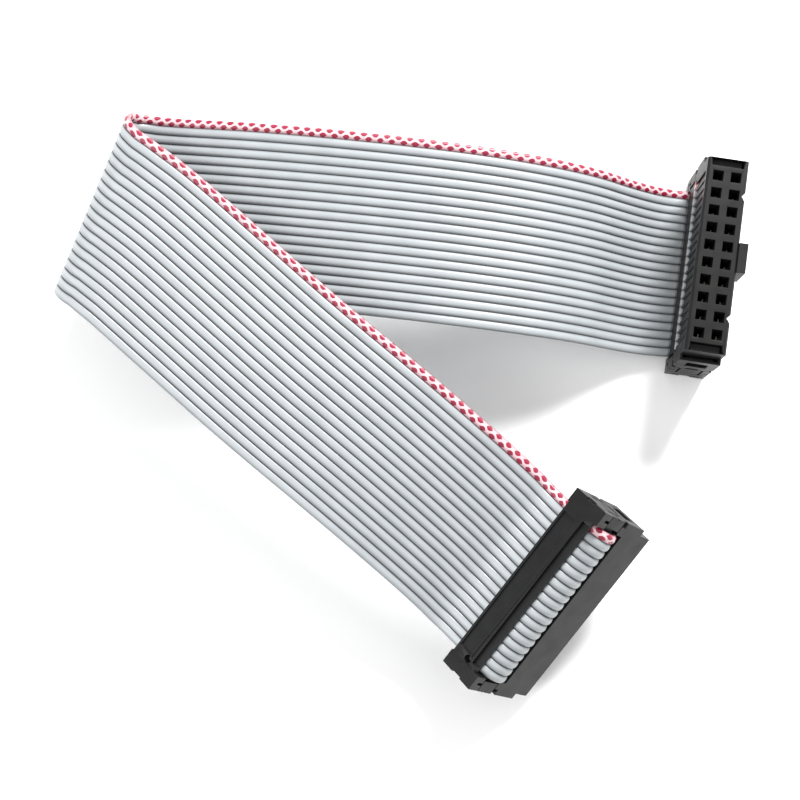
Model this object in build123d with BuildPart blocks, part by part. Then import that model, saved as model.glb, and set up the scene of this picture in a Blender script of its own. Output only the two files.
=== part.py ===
from build123d import *
import os
from math import radians, tan

# A 20-way flat ribbon cable with a polarised 2 x 10 socket on each end.
#
# Frame, in millimetres: socket A stands on its strain-relief clip with its
# pin holes up. The origin is the middle of that clip's underside, +Z is up,
# +X points to the side of socket A that carries the polarising key and +Y
# points along the socket to the marked wire. The ribbon leaves to -X, folds
# back over itself and ends in socket B, which leans with its pin holes down.

# ---------------------------------------------------------------- dimensions
WAYS = 20
PIN_PITCH = 2.54
PINS_PER_ROW = WAYS // 2
WIRE_PITCH = 1.27
RIBBON_WIDTH = WAYS * WIRE_PITCH
RIBBON_THICKNESS = 0.9
CORE_DIAMETER = 0.38
CORE_END_GAP = 0.15

SOCKET_LENGTH = 30.0
SOCKET_WIDTH = 5.8
SOCKET_HEIGHT = 14.3
HALF_WIDTH = SOCKET_WIDTH / 2

CLIP_TOP = 1.15
LOWER_LAYER = 1.7
COVER_BASE = 2.25
COVER_TOP = 6.05
UPPER_LAYER = 6.6
HOUSING_BASE = 7.15
END_SEAM = 5.7
END_SHOULDER = 11.3
LOOP_RADIUS = (UPPER_LAYER - LOWER_LAYER) / 2
LOOP_PROUD = 0.9
LOOP_CENTRE = HALF_WIDTH + LOOP_PROUD - LOOP_RADIUS - RIBBON_THICKNESS / 2
RIBBON_SPACE = RIBBON_WIDTH + 0.3

MATING_LENGTH = 28.2
PIN_HOLE = 1.45
POCKET_LENGTH = 2.3
POCKET_TOP = 9.0
LEG_SLOT = (4.5, 1.2)
LEG_SLOT_PLACE = 13.45
LATCH_SLOT = (5.0, 0.5)
LATCH_PLACE = 14.4
KEY_SIZE = (1.25, 4.3)
KEY_HEIGHT = 5.0
NOTCH_SIDE = 0.9
BAND_DEPTH = 0.3
BAND_LENGTH = 24.6
BAND_TOP = 13.4
RIB_PROUD = 0.15
RIB_LENGTH = 0.6

LEG_TIP = 13.5
CLIP_LEG_TIP = 10.6
BAR_RIBBON_EDGE = 2.65
BAR_LOOP_EDGE = 1.9
BAR_RIB = (-0.9, 0.1)
BAR_RELIEF = 0.3
CLIP_HOLE_RADIUS = 0.55
CLIP_HOLE_PLACE = 12.2

BLADE_THICKNESS = 0.25
BLADE_WIDTH = 1.0
BLADE_TIP = 5.15
BLADE_ROOT = 7.6
FOOT_BASE = 8.1
BEAM_TOP = 11.5
CUT_END_PROUD = 0.08

# Socket B: seat of its clip, the side its key points to and its mating axis.
SEAT_B_ORIGIN = (-20.72, -50.11, 17.12)
SEAT_B_KEY_AXIS = (-0.6532, 0.5360, -0.5348)
SEAT_B_MATING_AXIS = (0.5979, -0.0683, -0.7987)

SEAT_A = Plane.XY
SEAT_B = Plane(origin=SEAT_B_ORIGIN, x_dir=SEAT_B_KEY_AXIS, z_dir=SEAT_B_MATING_AXIS)

# Route of the ribbon's middle line from socket A, round the fold, to socket B.
RUN_A = [
    (-2.9, 0.0, 1.7),
    (-5.9, -0.3, 1.75),
    (-11.0, -1.0, 5.0),
    (-19.0, -1.9, 11.2),
    (-33.0, -2.8, 14.9),
    (-50.0, -3.4, 14.9),
    (-66.0, -4.2, 14.2),
    (-75.5, -4.6, 12.9),
    (-81.3, -4.7, 11.8),
]
FOLD = [
    (-85.5, -4.8, 11.7),
    (-87.4, -5.4, 13.4),
    (-87.6, -6.7, 15.7),
    (-86.1, -8.2, 17.2),
]
RUN_B = [
    (-83.7, -9.5, 17.4),
    (-79.0, -12.1, 17.3),
    (-70.5, -17.5, 16.8),
    (-57.0, -26.2, 16.1),
    (-44.5, -33.6, 15.4),
    (-35.0, -39.4, 14.4),
    (-28.2, -43.7, 13.0),
    (-23.9, -46.8, 12.34),
    (-21.6, -48.67, 14.21),
]

# Lines across the ribbon, from its plain edge to its marked edge.
ACROSS_SOCKET_A = Vector(0, 1, 0)
ACROSS_BACK = Vector(-0.08, 0.97, 0.22)
ACROSS_FOLD = Vector(0.25, 0.949, 0.195)
ACROSS_FRONT = Vector(0.56, 0.81, 0.17)
ACROSS_SOCKET_B = SEAT_B.y_dir


# ------------------------------------------------------------------ helpers
def side_plane(seat, y):
    """A plane across the socket at y: its x is the seat's x, its y is up."""
    return Plane(
        origin=seat.from_local_coords((0, y, 0)), x_dir=seat.x_dir, z_dir=-seat.y_dir
    )


def finish(part, name):
    """Label a piece and write it as one STEP file."""
    part.label = name
    export_step(part, f"parts/{name}.step")
    return part


def corner_radii(points):
    """The largest arcs that the runs on both sides of each corner allow."""
    radii = []
    for before, corner, after in zip(points, points[1:], points[2:]):
        run_in = Vector(*corner) - Vector(*before)
        run_out = Vector(*after) - Vector(*corner)
        shorter = min(run_in.length, run_out.length)
        turn = radians(run_in.get_angle(run_out))
        radii.append(0.45 * shorter / tan(turn / 2))
    return radii


def midpoint(first, last):
    """The point halfway along one run of the route."""
    return tuple((Vector(*first) + Vector(*last)) / 2)


def shortened(points, gap):
    """The same points with both ends drawn in, so that cores end inside."""
    first = points[0] + (points[1] - points[0]).normalized() * gap
    last = points[-1] + (points[-2] - points[-1]).normalized() * gap
    return [first] + points[1:-1] + [last]


# ------------------------------------------------------------ socket pieces
def make_housing(seat, cut_side):
    """The moulded body with the pin holes, its key and the latch ends."""
    height = SOCKET_HEIGHT - HOUSING_BASE
    with BuildPart() as housing:
        with BuildSketch(seat.offset(HOUSING_BASE)):
            Rectangle(SOCKET_WIDTH, MATING_LENGTH)
        extrude(amount=height)
        with BuildSketch(seat.offset(END_SEAM)):
            Rectangle(SOCKET_WIDTH, SOCKET_LENGTH)
            Rectangle(SOCKET_WIDTH, RIBBON_SPACE, mode=Mode.SUBTRACT)
        extrude(amount=END_SHOULDER - END_SEAM)
        top_edges = housing.edges().filter_by(Axis(seat.origin, seat.y_dir))
        chamfer(top_edges.sort_by(Axis(seat.origin, seat.z_dir))[-2:], 0.3)

        with BuildSketch(seat.offset(SOCKET_HEIGHT - KEY_HEIGHT)):
            with Locations((HALF_WIDTH + KEY_SIZE[0] / 2, 0)):
                Rectangle(*KEY_SIZE)
        extrude(amount=KEY_HEIGHT)

        # Low ribs stand in a recessed band above the cut end of the ribbon.
        band_middle = cut_side * (HALF_WIDTH - BAND_DEPTH / 2)
        rib_middle = cut_side * (HALF_WIDTH - BAND_DEPTH + RIB_PROUD / 2)
        with BuildSketch(seat.offset(HOUSING_BASE)):
            with Locations((band_middle, 0)):
                Rectangle(BAND_DEPTH, BAND_LENGTH)
            with Locations((rib_middle, 0)):
                with GridLocations(1, WIRE_PITCH, 1, WAYS - 1):
                    Rectangle(RIB_PROUD, RIB_LENGTH, mode=Mode.SUBTRACT)
        extrude(amount=BAND_TOP - HOUSING_BASE, mode=Mode.SUBTRACT)

        # Square holes take the pins, wider pockets under them the contacts.
        with BuildSketch(seat.offset(SOCKET_HEIGHT)):
            with GridLocations(PIN_PITCH, PIN_PITCH, 2, PINS_PER_ROW):
                Rectangle(PIN_HOLE, PIN_HOLE)
        extrude(amount=-height, mode=Mode.SUBTRACT)
        with BuildSketch(seat.offset(HOUSING_BASE)):
            with GridLocations(PIN_PITCH, PIN_PITCH, 2, PINS_PER_ROW):
                Rectangle(PIN_HOLE, POCKET_LENGTH)
        extrude(amount=POCKET_TOP - HOUSING_BASE, mode=Mode.SUBTRACT)

        # The cover's legs stand in two slots, the clip's legs outside them.
        with BuildSketch(seat.offset(END_SEAM)):
            with GridLocations(1, 2 * LEG_SLOT_PLACE, 1, 2):
                Rectangle(*LEG_SLOT)
            with GridLocations(1, 2 * LATCH_PLACE, 1, 2):
                Rectangle(*LATCH_SLOT)
        extrude(amount=SOCKET_HEIGHT - END_SEAM, mode=Mode.SUBTRACT)

        # Two small notches mark the wall beside the key.
        with BuildSketch(seat.offset(SOCKET_HEIGHT)):
            with GridLocations(2 * HALF_WIDTH, 7 * PIN_PITCH, 1, 2):
                with Locations((HALF_WIDTH, 0)):
                    Rectangle(NOTCH_SIDE, NOTCH_SIDE, rotation=45)
        extrude(amount=-KEY_HEIGHT, mode=Mode.SUBTRACT)
    return housing.part


def make_cover(seat, cut_side):
    """The cover that presses the ribbon onto the contacts, with its two legs."""
    loop_x = -cut_side * LOOP_CENTRE
    middle = (COVER_BASE + COVER_TOP) / 2
    thickness = COVER_TOP - COVER_BASE
    flat_length = HALF_WIDTH + LOOP_CENTRE
    end_length = (SOCKET_LENGTH - RIBBON_SPACE) / 2
    end_place = (SOCKET_LENGTH + RIBBON_SPACE) / 4
    with BuildPart() as cover:
        with BuildSketch(side_plane(seat, RIBBON_SPACE / 2)):
            with Locations((cut_side * HALF_WIDTH - cut_side * flat_length / 2, middle)):
                Rectangle(flat_length, thickness)
            with Locations((loop_x, middle)):
                Circle(thickness / 2)
        extrude(amount=RIBBON_SPACE)
        with BuildSketch(seat.offset(COVER_BASE)):
            with GridLocations(1, 2 * end_place, 1, 2):
                Rectangle(SOCKET_WIDTH, end_length)
        extrude(amount=END_SEAM - 0.1 - COVER_BASE)
        with BuildSketch(seat.offset(COVER_BASE)):
            with GridLocations(1, 2 * LEG_SLOT_PLACE, 1, 2):
                Rectangle(LEG_SLOT[0] - 0.3, LEG_SLOT[1] - 0.2)
        extrude(amount=LEG_TIP - COVER_BASE)
        with BuildSketch(seat.offset(COVER_BASE)):
            with GridLocations(1, 2 * LATCH_PLACE, 1, 2):
                Rectangle(*LATCH_SLOT)
        extrude(amount=thickness, mode=Mode.SUBTRACT)
        with BuildSketch(seat.offset(COVER_TOP)):
            for row, x in enumerate((-PIN_PITCH / 2, PIN_PITCH / 2)):
                with Locations((x, WIRE_PITCH * (row - 0.5))):
                    with GridLocations(1, PIN_PITCH, 1, PINS_PER_ROW):
                        Rectangle(0.5, 1.15)
        extrude(amount=-1.1, mode=Mode.SUBTRACT)
    return cover.part


def make_clip(seat, cut_side):
    """The strain-relief clip: a bar under the ribbon between two legs."""
    bar_width = BAR_RIBBON_EDGE + BAR_LOOP_EDGE
    bar_middle = cut_side * (BAR_RIBBON_EDGE - BAR_LOOP_EDGE) / 2
    rib_low, rib_high = BAR_RIB
    pan_width = BAR_RIBBON_EDGE - 0.4 - rib_high
    ear_length = (SOCKET_LENGTH - RIBBON_SPACE) / 2
    ear_place = (SOCKET_LENGTH + RIBBON_SPACE) / 4
    with BuildPart() as clip:
        with BuildSketch(seat):
            with Locations((bar_middle, 0)):
                Rectangle(bar_width, SOCKET_LENGTH)
        extrude(amount=CLIP_TOP)
        with BuildSketch(seat):
            with GridLocations(1, 2 * ear_place, 1, 2):
                Rectangle(SOCKET_WIDTH, ear_length)
        extrude(amount=COVER_BASE - 0.1)
        with BuildSketch(seat.offset(CLIP_TOP)):
            with GridLocations(1, 2 * LATCH_PLACE, 1, 2):
                Rectangle(LATCH_SLOT[0] - 1.0, LATCH_SLOT[1] - 0.14)
        extrude(amount=CLIP_LEG_TIP - CLIP_TOP)

        # The underside is relieved on both sides of one long rib.
        with BuildSketch(seat):
            with Locations((cut_side * (rib_high + pan_width / 2), 0)):
                Rectangle(pan_width, RIBBON_SPACE - 2.6)
        extrude(amount=BAR_RELIEF, mode=Mode.SUBTRACT)
        with BuildSketch(seat):
            with Locations((cut_side * (rib_low - BAR_LOOP_EDGE) / 2, 0)):
                Rectangle(BAR_LOOP_EDGE + rib_low, RIBBON_SPACE - 1.4)
        extrude(amount=2 * BAR_RELIEF, mode=Mode.SUBTRACT)
        with BuildSketch(seat):
            with Locations((0, -CLIP_HOLE_PLACE)):
                Circle(CLIP_HOLE_RADIUS)
        extrude(amount=CLIP_TOP, mode=Mode.SUBTRACT)
    return clip.part


def make_contact(seat, row, place):
    """One contact: a slotted blade for the wire and two beams for the pin."""
    x = PIN_PITCH * (row - 0.5)
    y = PIN_PITCH * ((PINS_PER_ROW - 1) / 2 - place)
    wire_y = y + WIRE_PITCH * (row - 0.5)
    with BuildPart() as contact:
        with BuildSketch(seat.offset(BLADE_TIP)):
            with Locations((x, wire_y)):
                Rectangle(BLADE_THICKNESS, BLADE_WIDTH)
                Rectangle(BLADE_THICKNESS, CORE_DIAMETER + 0.04, mode=Mode.SUBTRACT)
        extrude(amount=BLADE_ROOT - BLADE_TIP)
        with BuildSketch(seat.offset(BLADE_ROOT)):
            with Locations((x, wire_y)):
                Rectangle(BLADE_THICKNESS, BLADE_WIDTH)
        extrude(amount=FOOT_BASE - BLADE_ROOT)
        with BuildSketch(seat.offset(FOOT_BASE)):
            with Locations((x, (y + wire_y) / 2)):
                Rectangle(1.2, 1.4)
        extrude(amount=BLADE_THICKNESS)
        with BuildSketch(seat.offset(FOOT_BASE)):
            with Locations((x - 0.48, y), (x + 0.48, y)):
                Rectangle(0.2, 0.8)
        extrude(amount=BEAM_TOP - FOOT_BASE)
    return contact.part


# ------------------------------------------------------------ ribbon pieces
def wrap_path(seat_side):
    """Points and radii of the ribbon's way round the cover inside a socket."""
    cut_x = seat_side * (HALF_WIDTH + CUT_END_PROUD)
    loop_x = -seat_side * (LOOP_CENTRE + LOOP_RADIUS)
    exit_x = seat_side * HALF_WIDTH
    points = [
        (cut_x, UPPER_LAYER),
        (loop_x, UPPER_LAYER),
        (loop_x, LOWER_LAYER),
        (exit_x, LOWER_LAYER),
    ]
    return points, LOOP_RADIUS - 0.001


def make_wrap(seat, seat_side):
    """The insulation that wraps round the cover inside a socket."""
    points, radius = wrap_path(seat_side)
    with BuildPart() as wrap:
        with BuildSketch(side_plane(seat, RIBBON_WIDTH / 2)):
            with BuildLine():
                FilletPolyline(*points, radius=radius)
            trace(line_width=RIBBON_THICKNESS)
        extrude(amount=RIBBON_WIDTH)
    return wrap.part


def make_wrap_cores(seat, seat_side):
    """The twenty copper cores inside that wrap."""
    points, radius = wrap_path(seat_side)
    with BuildPart() as cores:
        with BuildLine(side_plane(seat, 0)):
            line = FilletPolyline(*points, radius=radius)
        with BuildSketch(Plane(origin=line @ 0, x_dir=seat.y_dir, z_dir=line % 0)):
            with GridLocations(WIRE_PITCH, 1, WAYS, 1):
                Circle(CORE_DIAMETER / 2)
        sweep()
    return cores.part


def across(keys, fraction):
    """The line across the ribbon, blended along one stretch of the route."""
    first, middle, last = keys
    rest = 1 - fraction
    blended = first * rest * rest + middle * 2 * rest * fraction + last * fraction * fraction
    return blended.normalized()


def make_stretch(points, radii, keys, step):
    """A stretch of insulation, lofted through plain sections along its path."""
    with BuildLine():
        line = FilletPolyline(*points, radius=radii)
    count = round(line.length / step)
    with BuildPart() as stretch:
        for index in range(count + 1):
            fraction = index / count
            forward = (line % fraction).normalized()
            ruling = across(keys, fraction)
            normal = forward.cross(ruling).normalized()
            slant = forward.cross(ruling).length
            section = Plane(
                origin=line @ fraction, x_dir=ruling, z_dir=ruling.cross(normal)
            )
            with BuildSketch(section):
                Rectangle(RIBBON_WIDTH / slant, RIBBON_THICKNESS)
        loft(ruled=True)
    return stretch.part, line.length


def make_stretch_cores(points, keys):
    """The twenty copper cores of one stretch, each on its own path."""
    runs = [(Vector(*b) - Vector(*a)).length for a, b in zip(points, points[1:])]
    with BuildPart() as cores:
        for wire in range(WAYS):
            shift = WIRE_PITCH * (wire - (WAYS - 1) / 2)
            core_points = []
            for index, point in enumerate(points):
                last = len(points) - 1
                back = Vector(*points[max(index - 1, 0)])
                front = Vector(*points[min(index + 1, last)])
                forward = (front - back).normalized()
                ruling = across(keys, sum(runs[:index]) / sum(runs))
                slant = forward.cross(ruling).length
                core_points.append(Vector(*point) + ruling * (shift / slant))
            core_points = shortened(core_points, CORE_END_GAP)
            with BuildLine():
                line = FilletPolyline(*core_points, radius=corner_radii(core_points))
            with BuildSketch(Plane(origin=line @ 0, z_dir=line % 0)):
                Circle(CORE_DIAMETER / 2)
            sweep()
    return cores.part


# ----------------------------------------------------------------- assembly
os.makedirs("parts", exist_ok=True)

for letter, seat, ribbon_side in (("a", SEAT_A, -1), ("b", SEAT_B, 1)):
    finish(make_housing(seat, ribbon_side), f"housing_{letter}")
    finish(make_cover(seat, ribbon_side), f"cover_{letter}")
    finish(make_clip(seat, ribbon_side), f"strain_relief_{letter}")
    finish(make_wrap(seat, ribbon_side), f"ribbon_wrap_{letter}")
    finish(make_wrap_cores(seat, ribbon_side), f"cores_wrap_{letter}")
    for number in range(1, WAYS + 1):
        row = number % 2
        place = (number - 1) // 2
        contact = make_contact(seat, row, place)
        finish(contact, f"contact_{letter}_{number:02d}")

route = RUN_A + FOLD + RUN_B
radii = corner_radii(route)
print("route corner radii, mm:", [round(radius, 1) for radius in radii])

fold_start = midpoint(RUN_A[-1], FOLD[0])
fold_end = midpoint(FOLD[-1], RUN_B[0])
turns_a = len(RUN_A) - 1
turns_fold = len(FOLD)
stretches = {
    "run_a": (
        RUN_A + [fold_start],
        radii[:turns_a],
        (ACROSS_SOCKET_A, ACROSS_BACK, ACROSS_FOLD),
        1.6,
    ),
    "fold": (
        [fold_start] + FOLD + [fold_end],
        radii[turns_a : turns_a + turns_fold],
        (ACROSS_FOLD, ACROSS_FOLD, ACROSS_FOLD),
        0.45,
    ),
    "run_b": (
        [fold_end] + RUN_B,
        radii[turns_a + turns_fold :],
        (ACROSS_FOLD, ACROSS_FRONT, ACROSS_SOCKET_B),
        1.6,
    ),
}
free_length = 0
for name, (points, stretch_radii, keys, step) in stretches.items():
    insulation, length = make_stretch(points, stretch_radii, keys, step)
    free_length += length
    section_volume = RIBBON_WIDTH * RIBBON_THICKNESS * length
    print(name, "volume against section times length:", insulation.volume / section_volume)
    finish(insulation, f"ribbon_{name}")
    finish(make_stretch_cores(points, keys), f"cores_{name}")
print("free length of the ribbon, mm:", round(free_length, 1))
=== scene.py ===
import bmesh
import bpy
from math import cos, pi, sqrt
from mathutils import Matrix, Vector


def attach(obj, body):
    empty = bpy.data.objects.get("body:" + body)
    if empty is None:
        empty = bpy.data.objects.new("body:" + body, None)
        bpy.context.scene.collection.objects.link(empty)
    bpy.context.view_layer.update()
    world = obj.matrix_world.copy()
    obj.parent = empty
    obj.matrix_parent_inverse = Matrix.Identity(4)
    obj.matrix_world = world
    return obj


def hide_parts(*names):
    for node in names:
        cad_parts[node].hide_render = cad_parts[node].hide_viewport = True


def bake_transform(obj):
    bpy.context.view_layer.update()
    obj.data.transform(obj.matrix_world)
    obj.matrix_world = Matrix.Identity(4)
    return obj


# Looks of a 20-way flat ribbon cable with a 2 x 10 socket on each end.
# Lengths are in metres, in the frame of the CAD model, unless a comment says
# millimetres.

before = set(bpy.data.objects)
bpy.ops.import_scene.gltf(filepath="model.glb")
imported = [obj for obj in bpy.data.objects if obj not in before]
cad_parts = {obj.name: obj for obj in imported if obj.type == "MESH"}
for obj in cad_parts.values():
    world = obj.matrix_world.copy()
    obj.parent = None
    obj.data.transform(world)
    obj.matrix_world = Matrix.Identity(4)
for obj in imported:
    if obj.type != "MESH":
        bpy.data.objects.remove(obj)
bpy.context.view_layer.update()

# ---------------------------------------------------------------- dimensions
MM = 0.001
WAYS = 20
WIRE_PITCH = 1.27 * MM
RIBBON_WIDTH = WAYS * WIRE_PITCH
HALF_THICK = 0.45 * MM
VALLEY_HALF_THICK = 0.08 * MM
POINTS_PER_WIRE = 10
EDGE_ROUND = 0.05 * MM
EDGE_ANGLE = 0.6
CAD_MERGE = 0.002 * MM
CARVED_MERGE = 0.0005 * MM

HALF_WIDTH = 2.9 * MM
LOWER_LAYER = 1.7 * MM
UPPER_LAYER = 6.6 * MM
STRAIGHT_STEPS = 24
LOOP_STEPS = 32
LOOP_RADIUS = (UPPER_LAYER - LOWER_LAYER) / 2
LOOP_CENTRE = 0.9 * MM
CUT_END = 2.96 * MM

# Seats of the two sockets: origin, axis to the key, axis along the marked end.
SEAT_A = (Vector((0, 0, 0)), Vector((1, 0, 0)), Vector((0, 1, 0)))
KEY_AXIS_B = Vector((-0.6532, 0.5360, -0.5348))
MATING_AXIS_B = Vector((0.5979, -0.0683, -0.7987))
SEAT_B = (
    Vector((-20.72, -50.11, 17.12)) * MM,
    KEY_AXIS_B.normalized(),
    MATING_AXIS_B.cross(KEY_AXIS_B).normalized(),
)

# Route of the ribbon's middle line, as in the CAD model, in millimetres.
RUN_A = [
    (-2.9, 0.0, 1.7),
    (-5.9, -0.3, 1.75),
    (-11.0, -1.0, 5.0),
    (-19.0, -1.9, 11.2),
    (-33.0, -2.8, 14.9),
    (-50.0, -3.4, 14.9),
    (-66.0, -4.2, 14.2),
    (-75.5, -4.6, 12.9),
    (-81.3, -4.7, 11.8),
]
FOLD = [
    (-85.5, -4.8, 11.7),
    (-87.4, -5.4, 13.4),
    (-87.6, -6.7, 15.7),
    (-86.1, -8.2, 17.2),
]
RUN_B = [
    (-83.7, -9.5, 17.4),
    (-79.0, -12.1, 17.3),
    (-70.5, -17.5, 16.8),
    (-57.0, -26.2, 16.1),
    (-44.5, -33.6, 15.4),
    (-35.0, -39.4, 14.4),
    (-28.2, -43.7, 13.0),
    (-23.9, -46.8, 12.34),
    (-21.6, -48.67, 14.21),
]

# Lines across the ribbon, from its plain edge to its marked edge.
ACROSS_BACK = Vector((-0.08, 0.97, 0.22))
ACROSS_FOLD = Vector((0.25, 0.949, 0.195))
ACROSS_FRONT = Vector((0.56, 0.81, 0.17))


# ---------------------------------------------------------------- materials
# Spacing of the printed dots, in the millimetres of the ribbon's UV map.
DOT_PERIOD = 1.7
GREY_DARK = (0.3, 0.322, 0.335)
GREY_LIGHT = (0.4, 0.425, 0.44)
# Painted shade for the grooves between the grey wires.
GREY_GROOVE_SHADE = (0.06, 0.065, 0.07)
PINK_LIGHT = (0.78, 0.6, 0.62)
PINK_DARK = (0.6, 0.36, 0.4)
# Painted shade for the grooves beside the marked wire.
PINK_GROOVE_SHADE = (0.3, 0.14, 0.16)
DOT_RED = (0.27, 0.012, 0.04)
FINE_GRAIN = 2600
GRAIN_STRENGTH = 0.12
GRAIN_DEPTH = 0.05 * MM


def new_material(name, color, roughness):
    """A material with one principled shader, and that shader's node."""
    material = bpy.data.materials.new(name)
    material.use_nodes = True
    shader = material.node_tree.nodes["Principled BSDF"]
    shader.inputs["Base Color"].default_value = (*color, 1)
    shader.inputs["Roughness"].default_value = roughness
    return material, shader


def add_node(material, kind, **settings):
    """A new node in the material, with its settings."""
    node = material.node_tree.nodes.new(kind)
    for name, value in settings.items():
        setattr(node, name, value)
    return node


def math_node(material, operation, *values):
    """A math node whose inputs are sockets or plain numbers."""
    node = add_node(material, "ShaderNodeMath", operation=operation)
    for socket, value in zip(node.inputs, values):
        if isinstance(value, (int, float)):
            socket.default_value = value
        else:
            material.node_tree.links.new(value, socket)
    return node.outputs[0]


def mix_color(material, factor, first, second):
    """A colour between two, chosen by a factor socket."""
    node = add_node(material, "ShaderNodeMix", data_type="RGBA")
    links = material.node_tree.links
    links.new(factor, node.inputs["Factor"])
    for socket, value in ((node.inputs["A"], first), (node.inputs["B"], second)):
        if isinstance(value, tuple):
            socket.default_value = (*value, 1)
        else:
            links.new(value, socket)
    return node.outputs["Result"]


def noise(material, scale, detail=3.0, stretch=(1, 1, 1)):
    """A noise value over the object's own coordinates."""
    place = add_node(material, "ShaderNodeTexCoord")
    mapping = add_node(material, "ShaderNodeMapping")
    mapping.inputs["Scale"].default_value = stretch
    texture = add_node(material, "ShaderNodeTexNoise")
    texture.inputs["Scale"].default_value = scale
    texture.inputs["Detail"].default_value = detail
    links = material.node_tree.links
    links.new(place.outputs["Object"], mapping.inputs["Vector"])
    links.new(mapping.outputs["Vector"], texture.inputs["Vector"])
    return texture.outputs["Fac"]


def add_bump(material, shader, height, strength, distance):
    """Fine relief from a height value."""
    bump = add_node(material, "ShaderNodeBump")
    bump.inputs["Strength"].default_value = strength
    bump.inputs["Distance"].default_value = distance
    links = material.node_tree.links
    links.new(height, bump.inputs["Height"])
    links.new(bump.outputs["Normal"], shader.inputs["Normal"])


def ribbon_coordinates(material):
    """Millimetres along the ribbon and wire widths across it."""
    uv = add_node(material, "ShaderNodeUVMap", uv_map="ribbon")
    split = add_node(material, "ShaderNodeSeparateXYZ")
    material.node_tree.links.new(uv.outputs["UV"], split.inputs["Vector"])
    return split.outputs["X"], split.outputs["Y"]


def groove_shade_mask(material, across):
    """Mask of painted shade: one in the grooves between the wires, falling to nothing on the ridges.
    """
    inside = math_node(material, "FRACT", across)
    centred = math_node(material, "SUBTRACT", inside, 0.5)
    distance = math_node(material, "ABSOLUTE", centred)
    doubled = math_node(material, "MULTIPLY", distance, 2)
    return math_node(material, "POWER", doubled, 3.2)


def insulation_material():
    """Soft satin grey PVC, with painted shade darkening the grooves between the wires."""
    material, shader = new_material("ribbon_insulation", (0.5, 0.52, 0.54), 0.36)
    across = ribbon_coordinates(material)[1]
    cloud = noise(material, 260, 4)
    base = mix_color(material, cloud, GREY_DARK, GREY_LIGHT)
    # Painted shade: the grooves between the wires get a darker colour.
    color = mix_color(material, groove_shade_mask(material, across), base, GREY_GROOVE_SHADE)
    links = material.node_tree.links
    links.new(color, shader.inputs["Base Color"])
    grain = noise(material, FINE_GRAIN, 3)
    rough = math_node(material, "MULTIPLY_ADD", grain, 0.2, 0.27)
    links.new(rough, shader.inputs["Roughness"])
    add_bump(material, shader, grain, GRAIN_STRENGTH, GRAIN_DEPTH)
    return material


def marked_material():
    """The edge wire: pale, with two rows of red printed dots and painted shade in its grooves."""
    material, shader = new_material("marked_wire", (0.75, 0.68, 0.68), 0.36)
    along, across = ribbon_coordinates(material)
    wander = noise(material, 900, 2)
    row = math_node(material, "GREATER_THAN", math_node(material, "FRACT", across), 0.5)
    offset = math_node(material, "MULTIPLY", row, 0.5)
    shifted = math_node(material, "ADD", math_node(material, "DIVIDE", along, DOT_PERIOD), offset)
    uneven = math_node(material, "ADD", shifted, math_node(material, "MULTIPLY", wander, 0.25))
    dash = math_node(material, "FRACT", uneven)
    from_middle = math_node(material, "ABSOLUTE", math_node(material, "SUBTRACT", dash, 0.5))
    inside = math_node(material, "FRACT", math_node(material, "MULTIPLY", across, 2))
    beside = math_node(material, "ABSOLUTE", math_node(material, "SUBTRACT", inside, 0.5))
    spread = math_node(material, "ADD", from_middle, math_node(material, "MULTIPLY", beside, 0.45))
    dot = math_node(material, "LESS_THAN", spread, 0.33)
    base = mix_color(material, wander, PINK_LIGHT, PINK_DARK)
    # Painted shade: the grooves beside the marked wire get a darker colour.
    base = mix_color(material, groove_shade_mask(material, across), base, PINK_GROOVE_SHADE)
    color = mix_color(material, dot, base, DOT_RED)
    links = material.node_tree.links
    links.new(color, shader.inputs["Base Color"])
    grain = noise(material, FINE_GRAIN, 3)
    add_bump(material, shader, grain, GRAIN_STRENGTH, GRAIN_DEPTH)
    return material


def plastic_material(name, dark, light, roughness):
    """Black moulded plastic with fine grain and a little uneven gloss."""
    material, shader = new_material(name, dark, roughness)
    shader.inputs["Specular IOR Level"].default_value = 0.22
    grain = noise(material, 5200, 4)
    cloud = noise(material, 420, 3)
    links = material.node_tree.links
    links.new(mix_color(material, cloud, dark, light), shader.inputs["Base Color"])
    rough = math_node(material, "MULTIPLY_ADD", cloud, 0.24, roughness - 0.12)
    links.new(rough, shader.inputs["Roughness"])
    add_bump(material, shader, grain, 0.25, 0.04 * MM)
    return material


def metal_material(name, color, roughness):
    """Bright metal with fine drawn lines."""
    material, shader = new_material(name, color, roughness)
    shader.inputs["Metallic"].default_value = 1
    lines = noise(material, 1500, 3, (1, 1, 0.1))
    darker = tuple(0.6 * value for value in color)
    links = material.node_tree.links
    links.new(mix_color(material, lines, darker, color), shader.inputs["Base Color"])
    add_bump(material, shader, lines, 0.2, 0.02 * MM)
    return material


insulation = insulation_material()
marked = marked_material()
housing_plastic = plastic_material("socket_black", (0.004, 0.004, 0.0043), (0.011, 0.0105, 0.01), 0.45)
clip_plastic = plastic_material("clip_black", (0.004, 0.0042, 0.0046), (0.009, 0.009, 0.0095), 0.36)
copper = metal_material("core_copper", (0.86, 0.5, 0.33), 0.3)
tinned = metal_material("contact_tinned", (0.5, 0.48, 0.44), 0.32)


# ------------------------------------------------------------------- ribbon
def link(obj):
    """Put an object into the scene."""
    bpy.context.scene.collection.objects.link(obj)
    return obj


def ribbon_profile():
    """Places across the ribbon with its half thickness: a row of round wires."""
    profile = []
    steps = WAYS * POINTS_PER_WIRE
    for step in range(steps + 1):
        wire, part = divmod(step, POINTS_PER_WIRE)
        inside = -cos(pi * part / POINTS_PER_WIRE)
        place = (wire + 0.5 + inside / 2) * WIRE_PITCH - RIBBON_WIDTH / 2
        rise = sqrt(max(0.0, 1 - inside * inside))
        half = VALLEY_HALF_THICK + (HALF_THICK - VALLEY_HALF_THICK) * rise
        profile.append((place, half))
    return profile


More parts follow.
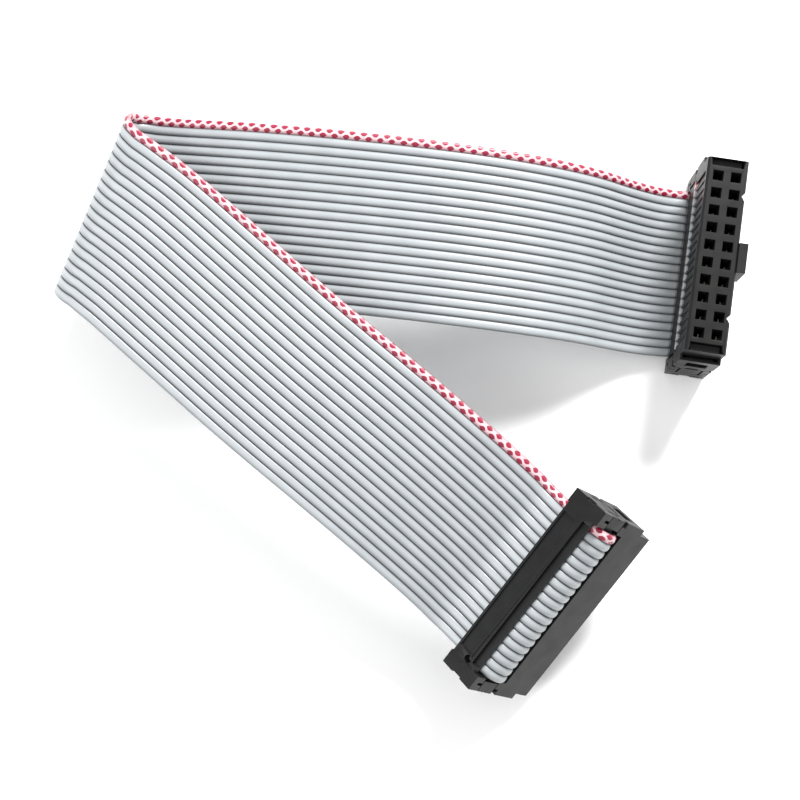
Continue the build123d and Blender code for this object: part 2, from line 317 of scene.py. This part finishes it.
def ribbon_mesh(name, centres, rulings):
    """A closed strip of round wires along a line, straight across each ruling."""
    profile = ribbon_profile()
    count = len(profile)
    ring = 2 * count
    vertices, travelled = [], [0.0]
    for index, (centre, ruling) in enumerate(zip(centres, rulings)):
        before = centres[max(index - 1, 0)]
        after = centres[min(index + 1, len(centres) - 1)]
        forward = (after - before).normalized()
        normal = forward.cross(ruling)
        slant = normal.length
        normal.normalize()
        top = [centre + ruling * (w / slant) + normal * t for w, t in profile]
        under = [centre + ruling * (w / slant) - normal * t for w, t in reversed(profile)]
        vertices += top + under
        if index:
            travelled.append(travelled[-1] + (centre - centres[index - 1]).length)
    faces = []
    for section in range(len(centres) - 1):
        base = section * ring
        for step in range(ring):
            other = (step + 1) % ring
            faces.append((base + step, base + other, base + ring + other, base + ring + step))
    for base, turn in ((0, 1), ((len(centres) - 1) * ring, -1)):
        for step in range(count - 1):
            below = ring - 1 - step
            quad = (base + step, base + below, base + below - 1, base + step + 1)
            faces.append(quad[::turn])
    mesh = bpy.data.meshes.new(name)
    mesh.from_pydata([tuple(v) for v in vertices], [], faces)
    mesh.materials.append(insulation)
    mesh.materials.append(marked)
    places = [w for w, t in profile] + [w for w, t in reversed(profile)]
    uv = mesh.uv_layers.new(name="ribbon")
    for face in mesh.polygons:
        middle = 0
        for loop in face.loop_indices:
            vertex = mesh.loops[loop].vertex_index
            across = places[vertex % ring] / WIRE_PITCH + WAYS / 2
            uv.data[loop].uv = (travelled[vertex // ring] / MM, across)
            middle += across / len(face.loop_indices)
        face.material_index = 1 if middle > WAYS - 1 else 0
        face.use_smooth = True
    work = bmesh.new()
    work.from_mesh(mesh)
    bmesh.ops.recalc_face_normals(work, faces=work.faces)
    work.to_mesh(mesh)
    work.free()
    return link(bpy.data.objects.new(name, mesh))


def smooth_line(points):
    """Points along the smooth curve that has these as its control points."""
    curve = bpy.data.curves.new("route", "CURVE")
    curve.dimensions = "3D"
    curve.resolution_u = 16
    spline = curve.splines.new("NURBS")
    spline.points.add(len(points) - 1)
    for target, point in zip(spline.points, points):
        target.co = (*(Vector(point) * MM), 1)
    spline.order_u = 3
    spline.use_endpoint_u = True
    holder = link(bpy.data.objects.new("route", curve))
    mesh = bpy.data.meshes.new_from_object(holder)
    line = [vertex.co.copy() for vertex in mesh.vertices]
    bpy.data.objects.remove(holder)
    return line


def blended_ruling(keys, fraction):
    """The line across the ribbon, blended along one stretch of the route."""
    first, middle, last = keys
    rest = 1 - fraction
    blended = first * rest * rest + middle * 2 * rest * fraction + last * fraction * fraction
    return blended.normalized()


def ribbon_rulings(line):
    """The line across the ribbon at every point: it lies along the fold there."""
    fold_start = (Vector(RUN_A[-1]) + Vector(FOLD[0])) * MM / 2
    fold_end = (Vector(FOLD[-1]) + Vector(RUN_B[0])) * MM / 2
    start = min(range(len(line)), key=lambda i: (line[i] - fold_start).length)
    end = min(range(len(line)), key=lambda i: (line[i] - fold_end).length)
    last = len(line) - 1
    travelled = [0.0]
    for before, after in zip(line, line[1:]):
        travelled.append(travelled[-1] + (after - before).length)
    rulings = []
    for index in range(len(line)):
        if index < start:
            fraction = travelled[index] / travelled[start]
            rulings.append(blended_ruling((SEAT_A[2], ACROSS_BACK, ACROSS_FOLD), fraction))
        elif index <= end:
            rulings.append(ACROSS_FOLD.normalized())
        else:
            fraction = (travelled[index] - travelled[end]) / (travelled[last] - travelled[end])
            rulings.append(blended_ruling((ACROSS_FOLD, ACROSS_FRONT, SEAT_B[2]), fraction))
    return rulings


def wrap_line(side):
    """The way round the cover in a socket: places across it and up it."""
    line = []
    for step in range(STRAIGHT_STEPS + 1):
        share = step / STRAIGHT_STEPS
        line.append((side * (CUT_END - share * (CUT_END + LOOP_CENTRE)), UPPER_LAYER))
    middle = (UPPER_LAYER + LOWER_LAYER) / 2
    for step in range(1, LOOP_STEPS):
        turn = Matrix.Rotation(pi * step / LOOP_STEPS, 2) @ Vector((0, LOOP_RADIUS))
        line.append((-side * (LOOP_CENTRE - turn.x), middle + turn.y))
    for step in range(STRAIGHT_STEPS + 1):
        share = step / STRAIGHT_STEPS
        line.append((side * (share * (HALF_WIDTH + LOOP_CENTRE) - LOOP_CENTRE), LOWER_LAYER))
    return line


def make_wrap(letter, seat, side):
    """The ribbon that wraps round the cover inside one socket."""
    origin, key_axis, along = seat
    up = key_axis.cross(along)
    centres = [origin + key_axis * x + up * z for x, z in wrap_line(side)]
    wrap = ribbon_mesh(f"wrap_{letter}", centres, [along] * len(centres))
    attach(wrap, f"socket_{letter}")
    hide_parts(f"ribbon_wrap_{letter}")
    return wrap


def box_faces(seat, low, high):
    """Corners and faces of a box between two corners, in a socket's millimetres."""
    origin, key_axis, along = seat
    up = key_axis.cross(along)
    corners = []
    for z in (low[2], high[2]):
        for x, y in ((low[0], low[1]), (high[0], low[1]), (high[0], high[1]), (low[0], high[1])):
            corners.append(origin + (key_axis * x + along * y + up * z) * MM)
    faces = [(3, 2, 1, 0), (4, 5, 6, 7)]
    faces += [(i, (i + 1) % 4, (i + 1) % 4 + 4, i + 4) for i in range(4)]
    return corners, faces


def carve(piece, seat, boxes):
    """Cut small boxes out of a piece for its seams, windows and notches."""
    vertices, faces = [], []
    for low, high in boxes:
        corners, sides = box_faces(seat, low, high)
        faces += [tuple(len(vertices) + i for i in side) for side in sides]
        vertices += [tuple(corner) for corner in corners]
    mesh = bpy.data.meshes.new("cutter")
    mesh.from_pydata(vertices, [], faces)
    cutter = link(bpy.data.objects.new("cutter", mesh))
    cut = piece.modifiers.new("cut", "BOOLEAN")
    cut.operation = "DIFFERENCE"
    cut.solver = "EXACT"
    cut.object = cutter
    graph = bpy.context.evaluated_depsgraph_get()
    carved = bpy.data.meshes.new_from_object(piece.evaluated_get(graph))
    piece.modifiers.clear()
    piece.data = carved
    bpy.data.objects.remove(cutter)


def end_boxes(places):
    """The same boxes on both ends of a socket, from places on its marked end."""
    boxes = []
    for (x0, y0, z0), (x1, y1, z1) in places:
        boxes.append(((x0, y0, z0), (x1, y1, z1)))
        boxes.append(((x0, -y1, z0), (x1, -y0, z1)))
    return boxes


def housing_cuts():
    """Latch windows in the end walls and steps beside them."""
    return end_boxes([
        ((-1.5, 14.6, 7.6), (1.5, 15.3, 9.9)),
        ((-3.2, 14.1, 5.3), (-2.45, 15.3, 6.6)),
        ((2.45, 14.1, 5.3), (3.2, 15.3, 6.6)),
        ((-0.9, 14.75, 5.3), (0.9, 15.3, 6.3)),
    ])


def cover_cuts():
    """Seams that frame the tab on each end of the cover."""
    return end_boxes([
        ((-1.75, 14.7, 2.0), (-1.45, 15.3, 5.9)),
        ((1.45, 14.7, 2.0), (1.75, 15.3, 5.9)),
        ((-3.2, 14.75, 3.7), (-2.1, 15.3, 4.0)),
        ((2.1, 14.75, 3.7), (3.2, 15.3, 4.0)),
        ((-3.2, 12.75, 2.0), (-2.2, 13.25, 5.9)),
        ((2.2, 12.75, 2.0), (3.2, 13.25, 5.9)),
    ])


def clip_cuts():
    """Notches and seams on the ends of the clip."""
    return end_boxes([
        ((-2.0, 14.75, 0.8), (2.0, 15.3, 1.1)),
        ((-0.8, 14.7, -0.2), (0.8, 15.3, 0.6)),
        ((-3.2, 13.7, 1.2), (-2.5, 14.1, 2.4)),
        ((2.5, 13.7, 1.2), (3.2, 14.1, 2.4)),
    ])


def merge_points(mesh, distance):
    """Make one point of all points of a mesh that lie closer than a distance."""
    work = bmesh.new()
    work.from_mesh(mesh)
    bmesh.ops.remove_doubles(work, verts=work.verts, dist=distance)
    work.to_mesh(mesh)
    work.free()


def moulded(node, body, material, seat, boxes):
    """A moulded piece of the CAD shape, with its edges rounded off."""
    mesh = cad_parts[node].data.copy()
    mesh.materials.clear()
    mesh.materials.append(material)
    for face in mesh.polygons:
        face.material_index = 0
    merge_points(mesh, CAD_MERGE)
    piece = link(bpy.data.objects.new(f"{node}_moulded", mesh))
    carve(piece, seat, boxes)
    merge_points(piece.data, CARVED_MERGE)
    for face in piece.data.polygons:
        face.use_smooth = True
    piece.data.set_sharp_from_angle(angle=EDGE_ANGLE)
    edges = piece.modifiers.new("edges", "BEVEL")
    edges.width = EDGE_ROUND
    edges.segments = 2
    edges.use_clamp_overlap = False
    edges.limit_method = "ANGLE"
    edges.angle_limit = EDGE_ANGLE
    piece.modifiers.new("even_faces", "WEIGHTED_NORMAL")
    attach(piece, body)
    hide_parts(node)
    return piece


route_line = smooth_line(RUN_A + FOLD + RUN_B)
ribbon = ribbon_mesh("ribbon", route_line, ribbon_rulings(route_line))
make_wrap("a", SEAT_A, -1)
wrap_b = make_wrap("b", SEAT_B, 1)

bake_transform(ribbon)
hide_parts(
    "ribbon_run_a", "ribbon_fold", "ribbon_run_b", "cores_run_a", "cores_fold", "cores_run_b"
)

for letter, seat in (("a", SEAT_A), ("b", SEAT_B)):
    for kind, cuts in (("housing", housing_cuts()), ("cover", cover_cuts())):
        body = f"socket_{letter}"
        piece = moulded(f"{kind}_{letter}", body, housing_plastic, seat, cuts)
    node = f"strain_relief_{letter}"
    clip = moulded(node, f"clip_{letter}", clip_plastic, seat, clip_cuts())

for name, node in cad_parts.items():
    if name.startswith(("contact_", "cores_")):
        node.data.materials.clear()
        node.data.materials.append(tinned if name.startswith("contact_") else copper)

# ------------------------------------------------------------ floor and light
floor_mesh = bpy.data.meshes.new("floor")
FLOOR_REACH = 1.2
floor_mesh.from_pydata(
    [(x * FLOOR_REACH, y * FLOOR_REACH, 0) for x, y in ((-1, -1), (1, -1), (1, 1), (-1, 1))],
    [], [(0, 1, 2, 3)],
)
floor_material, floor_shader = new_material("pale_floor", (0.97, 0.97, 0.97), 0.7)
floor_mesh.materials.append(floor_material)
floor = link(bpy.data.objects.new("floor", floor_mesh))

bpy.context.scene.view_settings.view_transform = "Standard"
world = bpy.data.worlds.new("studio")
world.use_nodes = True
world.node_tree.nodes["Background"].inputs["Color"].default_value = (1, 1, 1, 1)
world.node_tree.nodes["Background"].inputs["Strength"].default_value = 0.8
bpy.context.scene.world = world


def area_light(name, place, target, size, power):
    """A square soft light aimed at a point."""
    light = bpy.data.lights.new(name, "AREA")
    light.size = size
    light.energy = power
    obj = link(bpy.data.objects.new(name, light))
    aim = (Vector(target) - Vector(place)).to_track_quat("-Z", "Y")
    obj.matrix_world = Matrix.Translation(place) @ aim.to_matrix().to_4x4()


subject = (-0.045, -0.025, 0.01)
area_light("key", (0.12, 0.5, 0.42), subject, 0.18, 9.0)
area_light("fill", (-0.5, -0.2, 0.4), subject, 0.4, 2.0)

# ------------------------------------------------------------------- camera
camera_place = Vector((-36.33, -55.49, 199.3)) * MM
camera_target = Vector((-41.06, -24.99, 0.0)) * MM
back = (camera_place - camera_target).normalized()
right = Vector((0.988, 0.1535, 0.0))
right = (right - back * right.dot(back)).normalized()
up = back.cross(right)
camera_data = bpy.data.cameras.new("camera")
camera_data.lens = 61.26
camera_data.sensor_width = 36
camera_data.clip_start = 0.01
camera = link(bpy.data.objects.new("camera", camera_data))
turn = Matrix((right, up, back)).transposed().to_4x4()
camera.matrix_world = Matrix.Translation(camera_place) @ turn
bpy.context.scene.camera = camera
